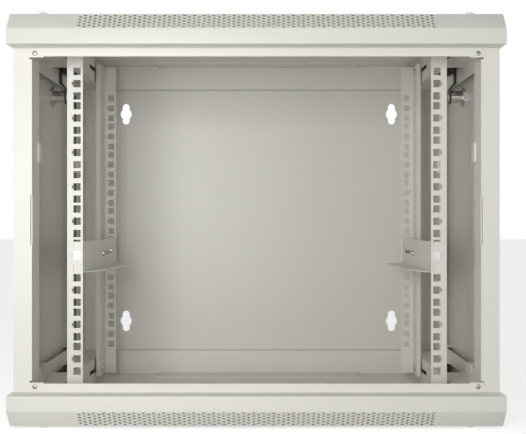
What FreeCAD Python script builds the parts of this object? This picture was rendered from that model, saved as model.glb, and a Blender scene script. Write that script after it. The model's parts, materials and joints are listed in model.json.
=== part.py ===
"""Wall mount network cabinet, 9 rack units, 600 mm wide, 450 mm deep, shown without its door.

Frame: X to the right, Y from the open front to the wall, Z up, in millimetres. The origin is on the
surface that the lowest screw heads stand on, under the middle of the cabinet.
Each piece is drawn once, for the right side and the top, and mirrored to the other side.
"""
import FreeCAD
import Part
import math
import os
import re
import Sketcher

SIZES = {
    "cabinet_width": 600,
    "cabinet_depth": 450,
    "cabinet_height": 501,
    "cover_gauge": 1.2,
    "frame_gauge": 1.5,
    "panel_gauge": 1.0,
    "back_gauge": 2,
    "rail_gauge": 1.5,
    "cover_overhang": 1.5,
    "nose_height": 39.3,
    "nose_slope_height": 20.5,
    "nose_slope_depth": 18.5,
    "nose_depth": 31,
    "vent_hole_width": 4.2,
    "vent_column_pitch": 12,
    "vent_row_pitch": 4.7,
    "vent_columns": 36,
    "vent_rows": 5,
    "upright_face": 22.7,
    "upright_return": 40,
    "upright_side_return": 14,
    "upright_ear": 14,
    "corner_slit": 2,
    "corner_slit_drop": 14.9,
    "lock_notch_depth": 2,
    "lock_notch_height": 60,
    "bar_face": 10.5,
    "bar_flange": 32,
    "bar_lap": 3,
    "bar_tab_width": 12,
    "bar_tab_drop": 1.2,
    "corner_screw_inset": 3.8,
    "panel_fold": 12,
    "channel_lip": 18.4,
    "channel_web": 252,
    "channel_front": 22,
    "cam_window_length": 96,
    "cam_window_rim": 10,
    "side_gap": 0.5,
    "hook_width": 30,
    "hook_drop": 10,
    "hook_spacing": 200,
    "hook_gap": 0.3,
    "rear_bar_depth": 12.8,
    "rear_upright_depth": 74,
    "rear_upright_flange": 35,
    "back_fold": 14,
    "back_screw": 261,
    "back_screw_spacing": 198,
    "keyhole_spacing": 435,
    "keyhole_rise": 339,
    "keyhole_lift": 4,
    "keyhole_round": 18,
    "keyhole_slot": 11.5,
    "keyhole_height": 33.5,
    "cable_slot_width": 310,
    "cable_slot_depth": 30,
    "cable_slot_inset": 24,
    "cable_plate_margin": 9,
    "rack_units": 9,
    "rack_unit": 44.45,
    "rack_hole_pitch": 15.875,
    "rack_hole_side": 9.5,
    "rack_hole_spacing": 465.1,
    "rack_opening": 450,
    "rack_drop": 1.6,
    "notch_width": 2,
    "notch_height": 4.6,
    "rail_height": 481,
    "rail_flange": 20.3,
    "rail_web": 40,
    "rail_lip": 4.6,
    "front_rail_depth": 96,
    "rear_rail_depth": 387,
    "front_rail_forward": 15,
    "front_rail_backward": 40,
    "rear_rail_forward": 60,
    "rear_rail_backward": 20,
    "rail_bolt_rise": 231,
    "rail_bolt": 6,
    "rail_bolt_gap": 0.3,
    "rail_bolt_length": 18,
    "rail_bolt_head": 2.6,
    "rail_bolt_head_width": 11,
    "rail_nut": 5,
    "rail_nut_width": 10,
    "bracket_top_drop": 28,
    "bracket_height": 40,
    "bracket_ledge": 23,
    "bracket_gauge": 1.5,
    "bracket_length": 180,
    "bracket_ear": 14,
    "bracket_nose_cut": 52,
    "clamp_setback": 160.5,
    "clamp_drop": 20,
    "clamp_bolt": 5,
    "clamp_gap": 0.2,
    "clamp_head": 2.6,
    "clamp_head_width": 9,
    "clamp_length": 12,
    "clamp_nut": 4,
    "clamp_nut_width": 8,
    "insert_gap": 0.05,
    "insert_units_up": 3,
    "lock_depth": 247,
    "lock_rise": 177,
    "lock_barrel": 18,
    "lock_barrel_length": 20,
    "lock_flange": 24,
    "lock_flange_height": 1.2,
    "lock_nut_width": 24,
    "lock_nut_height": 4,
    "lock_plug": 12,
    "lock_running_gap": 0.06,
    "key_slot_width": 2,
    "key_slot_length": 8,
    "key_slot_depth": 6,
    "cam_gauge": 2,
    "cam_width": 14,
    "cam_square": 7,
    "cam_tail": 10,
    "cam_straight": 11,
    "cam_bend_rise": 9,
    "cam_reach": 52,
    "cam_gap": 0.3,
    "cam_seat_gap": 0.1,
    "cam_screw_head": 2,
    "cam_screw_width": 11,
    "clip_low": 73,
    "clip_high": 97,
    "clip_wall": 2.4,
    "clip_grip": 10,
    "clip_nose": 5,
    "clip_gap": 0.05,
    "cover_screw_out": 261,
    "cover_screw_front": 28,
    "cover_screw_rear": 20,
    "cover_screw": 6,
    "cover_screw_length": 10,
    "cover_screw_head": 3.8,
    "cover_screw_head_width": 12,
    "small_screw": 4,
    "small_screw_length": 6,
    "small_screw_head": 2.2,
    "small_screw_head_width": 7.6,
    "hole_gap": 0.1,
}

document = FreeCAD.newDocument("wall_cabinet")
sheet = document.addObject("Spreadsheet::Sheet", "Sizes")
for row, (alias, number) in enumerate(SIZES.items(), start=1):
    sheet.set("A%d" % row, alias)
    sheet.set("B%d" % row, str(number))
    sheet.setAlias("B%d" % row, alias)
document.recompute()

# Places that several pieces share, as expressions of the sizes.
MIDDLE = "(cover_screw_head + cabinet_height / 2)"
TOP = "(cover_screw_head + cabinet_height)"
UNDER_TOP = "(%s - cover_gauge)" % TOP
NOSE_UNDER = "(%s - nose_height)" % TOP
FLOOR = "(%s + cover_gauge)" % NOSE_UNDER
LOW_FLOOR = "(2 * %s - %s)" % (MIDDLE, FLOOR)
FRONT = "(-cabinet_depth / 2)"
BACK = "(cabinet_depth / 2)"
BACK_INNER = "(%s - back_gauge)" % BACK
FACE = "(%s + nose_depth)" % FRONT
COVER_SIDE = "(cabinet_width / 2)"
SIDE = "(%s - cover_overhang)" % COVER_SIDE
SKIN_INNER = "(%s - panel_gauge)" % SIDE
UPRIGHT_INNER = "(%s - upright_face)" % SIDE
LIP_OUTER = "(%s - panel_fold)" % SIDE
LIP_INNER = "(%s - frame_gauge)" % LIP_OUTER
RAIL_INNER = "(rack_opening / 2)"
RAIL_OUTER = "(%s + rail_flange)" % RAIL_INNER
HOLE_COLUMN = "(rack_hole_spacing / 2)"
RACK_BOTTOM = "(%s - rack_drop - rack_units * rack_unit / 2)" % MIDDLE
INSERT_RISE = "(%s + (insert_units_up + 0.5) * rack_unit)" % RACK_BOTTOM
LOCK_Y = "(%s + lock_depth)" % FRONT
LOCK_Z = "(%s + lock_rise)" % MIDDLE
BARREL_END = "(%s - lock_barrel_length)" % SKIN_INNER

ROLES = {"XY": "XY_Plane", "XZ": "XZ_Plane", "YZ": "YZ_Plane"}
TURNS = {
    "x": FreeCAD.Rotation(FreeCAD.Vector(0, 1, 0), 90),
    "y": FreeCAD.Rotation(FreeCAD.Vector(1, 0, 0), -90),
    "z": FreeCAD.Rotation(),
}
NORMALS = {
    "x": FreeCAD.Vector(1, 0, 0),
    "y": FreeCAD.Vector(0, 1, 0),
    "z": FreeCAD.Vector(0, 0, 1),
}
nodes = []


def bound(expression):
    """Point each size name in an expression at its cell in the sheet."""
    def cell(match):
        word = match.group(0)
        return "Sizes." + word if word in SIZES else word
    return re.sub(r"[a-z_]+", cell, expression)


def size(alias):
    """Read one size back from the sheet, for the shapes that are set by code."""
    return float(sheet.get(alias))


def node(piece):
    """Keep a finished piece for the parts folder."""
    nodes.append(piece)
    return piece


def slab(label, x, y, z):
    """A plain block between two places on each axis."""
    block = document.addObject("Part::Box", label)
    for side, axis, (low, high) in (("Length", "x", x), ("Width", "y", y), ("Height", "z", z)):
        block.setExpression(side, bound("(%s) - (%s)" % (high, low)))
        block.setExpression(".Placement.Base." + axis, bound(low))
    return block


def stand(piece, axis, centre, low):
    """Stand a round piece along an axis, with its centre line at two places and its base at low."""
    piece.Placement = FreeCAD.Placement(FreeCAD.Vector(), TURNS[axis])
    across = [name for name in "xyz" if name != axis]
    places = dict(zip(across, centre))
    places[axis] = low
    for name, place in places.items():
        piece.setExpression(".Placement.Base." + name, bound(place))
    return piece


def rod(label, axis, centre, span, width):
    """A cylinder along an axis; width is its diameter."""
    low, high = span
    cylinder = document.addObject("Part::Cylinder", label)
    cylinder.setExpression("Radius", bound("(%s) / 2" % width))
    cylinder.setExpression("Height", bound("(%s) - (%s)" % (high, low)))
    return stand(cylinder, axis, centre, low)


def hexagon(label, axis, centre, span, width):
    """A hexagonal block along an axis; width is across its flats."""
    low, high = span
    prism = document.addObject("Part::Prism", label)
    prism.Polygon = 6
    prism.setExpression("Circumradius", bound("(%s) / 2 / cos(30)" % width))
    prism.setExpression("Height", bound("(%s) - (%s)" % (high, low)))
    return stand(prism, axis, centre, low)


def dome(label, axis, centre, span, widths):
    """A low cone frustum along an axis, for a screw head; widths are its two diameters."""
    low, high = span
    cone = document.addObject("Part::Cone", label)
    cone.setExpression("Radius1", bound("(%s) / 2" % widths[0]))
    cone.setExpression("Radius2", bound("(%s) / 2" % widths[1]))
    cone.setExpression("Height", bound("(%s) - (%s)" % (high, low)))
    return stand(cone, axis, centre, low)


def fuse(label, pieces):
    """Join solids into one piece."""
    joined = document.addObject("Part::MultiFuse", label)
    joined.Shapes = pieces
    joined.Refine = True
    return joined


def group(label, pieces):
    """Keep separate solids together under one name."""
    together = document.addObject("Part::Compound", label)
    together.Links = pieces
    return together


def cut(label, base, tools):
    """Take the tools away from the base."""
    taken = document.addObject("Part::Cut", label)
    taken.Base = base
    taken.Tool = tools[0] if len(tools) == 1 else group(label + "_cuts", tools)
    return taken


def mirror(label, source, axis):
    """Mirror a piece left to right (x) or top to bottom (z)."""
    reflected = document.addObject("Part::Mirroring", label)
    reflected.Source = source
    reflected.Normal = NORMALS[axis]
    if axis == "z":
        reflected.setExpression("Base.z", bound(MIDDLE))
    return reflected


def slot(label, axis, centre, reach, span, width):
    """A round-ended cutter: axis is the way it cuts, reach its two end centres along Y or Z."""
    middle, low, high = centre, reach[0], reach[1]
    if axis == "x":
        ends = [rod(label + end, "x", (place, middle), span, width) for end, place in
                (("_low", low), ("_high", high))]
        body = slab(label + "_run", span, (low, high),
                    ("%s - (%s) / 2" % (middle, width), "%s + (%s) / 2" % (middle, width)))
    else:
        ends = [rod(label + end, "y", (middle, place), span, width) for end, place in
                (("_low", low), ("_high", high))]
        body = slab(label + "_run", ("%s - (%s) / 2" % (middle, width), "%s + (%s) / 2" % (middle, width)),
                    span, (low, high))
    return ends + [body]


def body_with_profile(label, plane, outlines, span):
    """A body padded from closed outlines drawn on an origin plane, between two places."""
    body = document.addObject("PartDesign::Body", label)
    add_pad(body, label + "_profile", plane, outlines, span)
    return body


def sketch_on(body, name, plane, outlines, circles=()):
    """Draw closed outlines and circles whose points are bound to the sheet."""
    sketch = body.newObject("Sketcher::SketchObject", name)
    origin_plane = [part for part in body.Origin.OriginFeatures if part.Role == ROLES[plane]][0]
    sketch.AttachmentSupport = [(origin_plane, "")]
    sketch.MapMode = "FlatFace"
    for outline in outlines:
        first = sketch.GeometryCount
        count = len(outline)
        spots = [FreeCAD.Vector(10 * math.cos(2 * math.pi * step / count),
                                10 * math.sin(2 * math.pi * step / count), 0) for step in range(count)]
        for step in range(count):
            sketch.addGeometry(Part.LineSegment(spots[step], spots[(step + 1) % count]), False)
        for step in range(count):
            following = first + (step + 1) % count
            sketch.addConstraint(Sketcher.Constraint("Coincident", first + step, 2, following, 1))
        for step, point in enumerate(outline):
            for kind, place, start in (("DistanceX", point[0], spots[step].x),
                                       ("DistanceY", point[1], spots[step].y)):
                index = sketch.addConstraint(Sketcher.Constraint(kind, first + step, 1, start))
                sketch.setExpression("Constraints[%d]" % index, bound(place))
    for across, up, width in circles:
        ring = sketch.addGeometry(Part.Circle(FreeCAD.Vector(1, 1, 0), FreeCAD.Vector(0, 0, 1), 1), False)
        for kind, place in (("DistanceX", across), ("DistanceY", up)):
            index = sketch.addConstraint(Sketcher.Constraint(kind, ring, 3, 1.0))
            sketch.setExpression("Constraints[%d]" % index, bound(place))
        index = sketch.addConstraint(Sketcher.Constraint("Radius", ring, 1.0))
        sketch.setExpression("Constraints[%d]" % index, bound("(%s) / 2" % width))
    return sketch


def add_pad(body, name, plane, outlines, span):
    """Add material from outlines, between two places along the plane's normal."""
    low, high = span
    sketch = sketch_on(body, name, plane, outlines)
    start = "-(%s)" % high if plane == "XZ" else low
    sketch.setExpression(".AttachmentOffset.Base.z", bound(start))
    pad = body.newObject("PartDesign::Pad", name + "_pad")
    pad.Profile = sketch
    pad.setExpression("Length", bound("(%s) - (%s)" % (high, low)))
    sketch.Visibility = False
    body.Tip = pad
    return pad


def add_pocket(body, name, plane, outlines, circles=()):
    """Cut outlines and circles right through the body, both ways from the plane."""
    sketch = sketch_on(body, name, plane, outlines, circles)
    pocket = body.newObject("PartDesign::Pocket", name + "_pocket")
    pocket.Profile = sketch
    pocket.Type = "Length"
    pocket.SideType = "Symmetric"
    pocket.setExpression("Length", bound("2 * (cabinet_width + cabinet_height)"))
    sketch.Visibility = False
    body.Tip = pocket
    return pocket


def rectangle(x, y):
    """The four corners of a rectangle, from its low and high places."""
    return [(x[0], y[0]), (x[1], y[0]), (x[1], y[1]), (x[0], y[1])]


def around(centre, width):
    """Low and high places of a width centred on a place."""
    return ("%s - (%s) / 2" % (centre, width), "%s + (%s) / 2" % (centre, width))


def head_and_shank(label, axis, centre, seat, facing, head, head_width, shank, length):
    """A screw: its head stands on the seat and points along facing (+1 or -1), its shank the other way."""
    if facing > 0:
        head_span = (seat, "%s + %s" % (seat, head))
        shank_span = ("%s - (%s)" % (seat, length), "%s + %s / 2" % (seat, head))
        widths = (head_width, "0.7 * %s" % head_width)
    else:
        head_span = ("%s - %s" % (seat, head), seat)
        shank_span = ("%s - %s / 2" % (seat, head), "%s + %s" % (seat, length))
        widths = ("0.7 * %s" % head_width, head_width)
    crown = dome(label + "_head", axis, centre, head_span, widths)
    stem = rod(label + "_shank", axis, centre, shank_span, shank)
    return fuse(label + "_whole", [crown, stem])


def both_sides(right, axis="x"):
    """Keep a right piece and its mirror image for the left, named left for right."""
    node(right)
    return node(mirror("left_" + right.Label[len("right_"):], right, axis))


def top_and_bottom(upper):
    """Keep a top piece and its mirror image for the bottom."""
    node(upper)
    return node(mirror("bottom_" + upper.Label[len("top_"):], upper, "z"))


def vent_cutters():
    """Square-cornered cutters for the staggered vent holes, square to the sloping front of a cover."""
    slope_height = size("nose_slope_height")
    slope_depth = size("nose_slope_depth")
    run = math.hypot(slope_height, slope_depth)
    front = -size("cabinet_depth") / 2
    top = size("cover_screw_head") + size("cabinet_height")
    middle = FreeCAD.Vector(0, front + slope_depth / 2, top - slope_height / 2)
    up_slope = FreeCAD.Vector(0, slope_depth / run, slope_height / run)
    outward = FreeCAD.Vector(0, -slope_height / run, slope_depth / run)
    across = FreeCAD.Vector(1, 0, 0)
    half = size("vent_hole_width") / 2
    depth = 3 * size("cover_gauge")
    columns = int(size("vent_columns"))
    cutters = []
    for column in range(columns):
        rows = int(size("vent_rows")) - column % 2
        offset = (column - (columns - 1) / 2) * size("vent_column_pitch")
        for row in range(rows):
            rise = (row - (rows - 1) / 2) * size("vent_row_pitch")
            centre = middle + across * offset + up_slope * rise - outward * (2 * size("cover_gauge"))
            corners = [centre + across * half, centre + up_slope * half,
                       centre - across * half, centre - up_slope * half]
            face = Part.Face(Part.makePolygon(corners + corners[:1]))
            cutters.append(face.extrude(outward * depth))
    piece = document.addObject("Part::Feature", "vent_cutters")
    piece.Shape = Part.makeCompound(cutters)
    return piece


def top_cover():
    """Folded cap: plate, sloping vented nose, side and rear skirts, and a return under the nose."""
    slope = "sqrt(nose_slope_height * nose_slope_height + nose_slope_depth * nose_slope_depth)"
    outside = body_with_profile("top_cover_outside", "YZ", [[
        (FRONT, NOSE_UNDER),
        (FRONT, "%s - nose_slope_height" % TOP),
        ("%s + nose_slope_depth" % FRONT, TOP),
        (BACK, TOP),
        (BACK, NOSE_UNDER),
    ]], ("-" + COVER_SIDE, COVER_SIDE))
    low_corner = "cover_gauge * (%s - nose_slope_height) / nose_slope_depth" % slope
    high_corner = ("(cover_gauge * %s + (nose_slope_height - cover_gauge) * nose_slope_depth)"
                   " / nose_slope_height" % slope)
    hollow = body_with_profile("top_cover_hollow", "YZ", [[
        ("%s + cover_gauge" % FRONT, "%s - 1" % NOSE_UNDER),
        ("%s + cover_gauge" % FRONT, "%s - nose_slope_height - %s" % (TOP, low_corner)),
        ("%s + %s" % (FRONT, high_corner), UNDER_TOP),
        ("%s - cover_gauge" % BACK, UNDER_TOP),
        ("%s - cover_gauge" % BACK, "%s - 1" % NOSE_UNDER),
    ]], ("-%s + cover_gauge" % COVER_SIDE, "%s - cover_gauge" % COVER_SIDE))
    walls = cut("top_cover_walls", outside, [hollow])
    fold = slab("top_cover_return", ("-%s + cover_gauge / 2" % COVER_SIDE, "%s - cover_gauge / 2" % COVER_SIDE),
                ("%s + cover_gauge / 2" % FRONT, FACE), (NOSE_UNDER, FLOOR))
    body = fuse("top_cover_folds", [walls, fold])
    screw_rows = (cover_screw_place("front"), cover_screw_place("rear"))
    holes = [rod("cover_hole_%d" % index, "z", (x, y), (NOSE_UNDER, "%s + 1" % TOP), "cover_screw + 2 * hole_gap")
             for index, (x, y) in enumerate((sign + "cover_screw_out", y) for sign in ("", "-")
                                            for y in screw_rows)]
    cable_slot = slab("cable_slot", ("-cable_slot_width / 2", "cable_slot_width / 2"),
                      ("%s - cable_slot_inset - cable_slot_depth" % BACK, "%s - cable_slot_inset" % BACK),
                      (NOSE_UNDER, "%s + 1" % TOP))
    cable_holes = [rod("cable_hole_%d" % index, "z", (x, CABLE_SCREW_Y), (NOSE_UNDER, "%s + 1" % TOP),
                       "small_screw + 2 * hole_gap")
                   for index, x in enumerate((CABLE_SCREW_X, "-" + CABLE_SCREW_X))]
    return cut("top_cover", body, [vent_cutters(), cable_slot] + holes + cable_holes)


def cover_screw_place(end):
    """Depth of the cover screws, front or rear."""
    if end == "front":
        return "%s + cover_screw_front" % FRONT
    return "%s - cover_screw_rear" % BACK


CABLE_SCREW_X = "(cable_slot_width / 2 + cable_plate_margin / 2)"
CABLE_SCREW_Y = "(%s - cable_slot_inset - cable_slot_depth / 2)" % BACK


def covers():
    """Both covers, their screws, and the plates that close the cable slots."""
    top_and_bottom(top_cover())
    screws = []
    for end in ("front", "rear"):
        screw = head_and_shank("cover_screw_" + end, "z", ("cover_screw_out", cover_screw_place(end)), TOP, 1,
                               "cover_screw_head", "cover_screw_head_width", "cover_screw",
                               "cover_screw_length")
        screws += [screw, mirror("cover_screw_left_" + end, screw, "x")]
    top_and_bottom(group("top_cover_screws", screws))

    plate = slab("cable_plate", ("-cable_slot_width / 2 - cable_plate_margin",
                                 "cable_slot_width / 2 + cable_plate_margin"),
                 ("%s - cable_slot_inset - cable_slot_depth - 0.8 * cable_plate_margin" % BACK,
                  "%s - cable_slot_inset + 0.8 * cable_plate_margin" % BACK),
                 ("%s - cover_gauge" % UNDER_TOP, UNDER_TOP))
    holes = [rod("plate_hole_%d" % index, "z", (x, CABLE_SCREW_Y), (NOSE_UNDER, TOP), "small_screw + 2 * hole_gap")
             for index, x in enumerate((CABLE_SCREW_X, "-" + CABLE_SCREW_X))]
    top_and_bottom(cut("top_cable_plate", plate, holes))
    upper = head_and_shank("cable_screw", "z", (CABLE_SCREW_X, CABLE_SCREW_Y), TOP, 1, "small_screw_head",
                           "small_screw_head_width", "small_screw", "small_screw_length")
    pair = group("cable_screws_top", [upper, mirror("cable_screw_left", upper, "x")])
    node(group("cable_plate_screws", [pair, mirror("cable_screws_bottom", pair, "z")]))


def front_frame():
    """Uprights and bars of the recessed front frame, with their corner screws."""
    face_back = "(%s + frame_gauge)" % FACE
    top_end = FLOOR
    profile = body_with_profile("right_upright_section", "XY", [[
        (UPRIGHT_INNER, FACE),
        (SIDE, FACE),
        (SIDE, "%s + upright_side_return" % FACE),
        ("%s - frame_gauge" % SIDE, "%s + upright_side_return" % FACE),
        ("%s - frame_gauge" % SIDE, face_back),
        ("%s + frame_gauge" % UPRIGHT_INNER, face_back),
        ("%s + frame_gauge" % UPRIGHT_INNER, "%s + upright_return" % FACE),
        (UPRIGHT_INNER, "%s + upright_return" % FACE),
    ]], (LOW_FLOOR, top_end))
    slit_low = "(%s - corner_slit_drop)" % FLOOR
    ear_low = "(%s + corner_slit)" % slit_low
    ear = slab("upright_ear_top", ("%s - upright_ear" % UPRIGHT_INNER, "%s + frame_gauge" % UPRIGHT_INNER),
               (FACE, face_back), (ear_low, "%s - hole_gap" % NOSE_UNDER))
    fold_end = slab("fold_end_top", ("%s - 1" % UPRIGHT_INNER, "%s + frame_gauge" % UPRIGHT_INNER),
                    (face_back, "%s + upright_return + 1" % FACE), (slit_low, "%s + 1" % FLOOR))
    slit = slab("corner_slit_top", ("%s - 1" % UPRIGHT_INNER, "%s + bar_lap" % UPRIGHT_INNER),
                ("%s - 1" % FACE, face_back), (slit_low, ear_low))
    notch = slab("lock_notch", ("%s - 1" % UPRIGHT_INNER, "%s + lock_notch_depth" % UPRIGHT_INNER),
                 ("%s - 1" % FACE, "%s + 1" % face_back),
                 (MIDDLE + " - lock_notch_height / 2", MIDDLE + " + lock_notch_height / 2"))
    cutters = [fold_end, mirror("fold_end_bottom", fold_end, "z"), slit,
               mirror("corner_slit_bottom", slit, "z"), notch]
    trimmed = cut("right_upright_trimmed", profile, cutters)
    whole = fuse("right_upright_whole", [trimmed, ear, mirror("upright_ear_bottom", ear, "z")])
    screw_x = "(%s - corner_screw_inset)" % UPRIGHT_INNER
    screw_z = "(%s - bar_face / 2 - frame_gauge)" % NOSE_UNDER
    hole = rod("corner_hole", "y", (screw_x, screw_z), ("%s - frame_gauge - 1" % FACE, "%s + 1" % face_back),
               "small_screw + 2 * hole_gap")
    low_hole = mirror("corner_hole_bottom", hole, "z")
    both_sides(cut("right_front_upright", whole, [hole, low_hole]))

    end = "(%s + bar_lap)" % UPRIGHT_INNER
    tab = "(%s - bar_tab_width)" % end
    low = "(%s - bar_face)" % NOSE_UNDER
    drop = "(%s - bar_tab_drop)" % low
    bar = body_with_profile("top_bar_section", "XZ", [[
        ("-" + end, NOSE_UNDER), ("-" + end, drop), ("-" + tab, drop), ("-" + tab, low),
        (tab, low), (tab, drop), (end, drop), (end, NOSE_UNDER),
    ]], ("%s - frame_gauge" % FACE, FACE))
    reach = "(%s - upright_ear - 2)" % UPRIGHT_INNER
    add_pad(bar, "top_bar_flange", "XY", [rectangle(
        ("-" + reach, reach), ("%s - frame_gauge" % FACE, "%s - frame_gauge + bar_flange" % FACE))],
        ("%s - frame_gauge" % NOSE_UNDER, NOSE_UNDER))
    left_hole = mirror("corner_hole_left", hole, "x")
    top_and_bottom(cut("top_front_bar", bar, [hole, left_hole]))
    screw = head_and_shank("corner_screw", "y", (screw_x, screw_z), "%s - frame_gauge" % FACE, -1,
                           "small_screw_head / 2", "small_screw_head_width * 0.8", "small_screw",
                           "small_screw_length")
    upper = group("corner_screws_top", [screw, mirror("corner_screw_left", screw, "x")])
    node(group("corner_screws", [upper, mirror("corner_screws_bottom", upper, "z")]))


def travel_slot(label, rest, forward, backward):
    """A slot in the channel's web that a rail bolt runs along."""
    return slot(label, "x", RAIL_BOLT_Z, ("%s - %s" % (rest, forward), "%s + %s" % (rest, backward)),
                ("channel_web - 1", "channel_web + frame_gauge + 1"), "rail_bolt + 2 * rail_bolt_gap")


RAIL_BOLT_Z = "(%s + rail_bolt_rise)" % MIDDLE
FRONT_BOLT_Y = "(%s + front_rail_depth + rail_web / 2)" % FRONT
REAR_BOLT_Y = "(%s + rear_rail_depth - rail_web / 2)" % FRONT


def depth_channels():
    """The four channels that run front to back and carry the rails and the side panels."""
    section = body_with_profile("channel_section", "XZ", [[
        (LIP_INNER, "%s - channel_lip" % FLOOR),
        (LIP_OUTER, "%s - channel_lip" % FLOOR),
        (LIP_OUTER, "%s + frame_gauge" % FLOOR),
        ("channel_web + frame_gauge", "%s + frame_gauge" % FLOOR),
        ("channel_web + frame_gauge", "%s - frame_gauge" % UNDER_TOP),
        (LIP_OUTER, "%s - frame_gauge" % UNDER_TOP),
        (LIP_OUTER, UNDER_TOP),
        ("channel_web", UNDER_TOP),
        ("channel_web", FLOOR),
        (LIP_INNER, FLOOR),
    ]], ("%s + channel_front" % FRONT, BACK_INNER))
    lip_start = slab("lip_start", ("%s - 1" % LIP_INNER, "%s + 1" % LIP_OUTER), (FRONT, "%s + upright_return" % FACE),
                     ("%s - channel_lip - 1" % FLOOR, FLOOR))
    window = slab("cam_window", ("channel_web + cam_window_rim", LIP_INNER),
                  ("%s - cam_window_length / 2" % LOCK_Y, "%s + cam_window_length / 2" % LOCK_Y),
                  ("%s - 1" % FLOOR, "%s + frame_gauge + 1" % FLOOR))
    holes = [rod("channel_hole_" + end, "z", ("cover_screw_out", cover_screw_place(end)),
                 ("%s - frame_gauge - 1" % UNDER_TOP, TOP), "cover_screw + 2 * hole_gap")
             for end in ("front", "rear")]
    front_slot = travel_slot("front_slot", FRONT_BOLT_Y, "front_rail_forward", "front_rail_backward")
    rear_slot = travel_slot("rear_slot", REAR_BOLT_Y, "rear_rail_forward", "rear_rail_backward")
    right = cut("top_right_channel", section, [lip_start, window] + holes + front_slot + rear_slot)
    node(right)
    left = node(mirror("top_left_channel", right, "x"))
    node(mirror("bottom_right_channel", right, "z"))
    node(mirror("bottom_left_channel", left, "z"))


def rear_frame():
    """Rear bars, rear uprights, the back panel with its keyholes, and the back panel's screws."""
    web = "(%s - rear_bar_depth)" % BACK_INNER
    bar = body_with_profile("top_rear_bar", "YZ", [[
        (web, FLOOR), (BACK_INNER, FLOOR), (BACK_INNER, "%s + frame_gauge" % FLOOR),
        ("%s + frame_gauge" % web, "%s + frame_gauge" % FLOOR),
        ("%s + frame_gauge" % web, "%s - frame_gauge" % UNDER_TOP),
        (BACK_INNER, "%s - frame_gauge" % UNDER_TOP), (BACK_INNER, UNDER_TOP), (web, UNDER_TOP),
    ]], ("-channel_web", "channel_web"))
    top_and_bottom(bar)

    upright = body_with_profile("right_rear_upright_section", "XY", [[
        ("%s - frame_gauge" % LIP_INNER, "%s - rear_upright_depth" % BACK_INNER),
        (LIP_INNER, "%s - rear_upright_depth" % BACK_INNER),
        (LIP_INNER, BACK_INNER),
        ("%s - rear_upright_flange" % LIP_INNER, BACK_INNER),
        ("%s - rear_upright_flange" % LIP_INNER, "%s - frame_gauge" % BACK_INNER),
        ("%s - frame_gauge" % LIP_INNER, "%s - frame_gauge" % BACK_INNER),
    ]], (LOW_FLOOR, FLOOR))
    rises = ("%s + back_screw_spacing" % MIDDLE, MIDDLE, "%s - back_screw_spacing" % MIDDLE)
    holes = [rod("back_hole_%d" % index, "y", ("back_screw", rise), ("%s - frame_gauge - 1" % BACK_INNER, "%s + 1" % BACK),
                 "small_screw + 2 * hole_gap") for index, rise in enumerate(rises)]
    both_sides(cut("right_rear_upright", upright, holes))

    sheet_height = (LOW_NOSE, NOSE_UNDER)
    fold_inner = "(%s - back_gauge)" % SIDE
    fold_front = "(%s - back_fold)" % BACK
    panel = body_with_profile("back_panel_section", "XY", [[
        ("-" + SIDE, fold_front), ("-" + fold_inner, fold_front), ("-" + fold_inner, BACK_INNER),
        (fold_inner, BACK_INNER), (fold_inner, fold_front), (SIDE, fold_front), (SIDE, BACK), ("-" + SIDE, BACK),
    ]], sheet_height)
    cutters = []
    through = ("%s - 1" % BACK_INNER, "%s + 1" % BACK)
    for name, rise in (("upper", "keyhole_rise / 2"), ("lower", "-keyhole_rise / 2")):
        centre_z = "(%s + keyhole_lift + %s)" % (MIDDLE, rise)
        centre_x = "(keyhole_spacing / 2)"
        reach = "(keyhole_height - keyhole_slot) / 2"
        cutters.append(rod("keyhole_round_" + name, "y", (centre_x, centre_z), through, "keyhole_round"))
        cutters += slot("keyhole_slot_" + name, "y", centre_x,
                        ("%s - %s" % (centre_z, reach), "%s + %s" % (centre_z, reach)), through, "keyhole_slot")
    right_cuts = group("right_back_cuts", cutters + holes)
    left_cuts = mirror("left_back_cuts", right_cuts, "x")
    node(cut("back_panel", cut("back_panel_right", panel, [right_cuts]), [left_cuts]))

    screws = []
    for index, rise in enumerate(rises):
        screw = head_and_shank("back_screw_%d" % index, "y", ("back_screw", rise), "(%s - frame_gauge)" % BACK_INNER, -1,
                               "small_screw_head", "small_screw_head_width", "small_screw",
                               "frame_gauge + back_gauge")
        screws += [screw, mirror("back_screw_left_%d" % index, screw, "x")]
    node(group("back_panel_screws", screws))


LOW_NOSE = "(2 * %s - %s)" % (MIDDLE, NOSE_UNDER)


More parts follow.
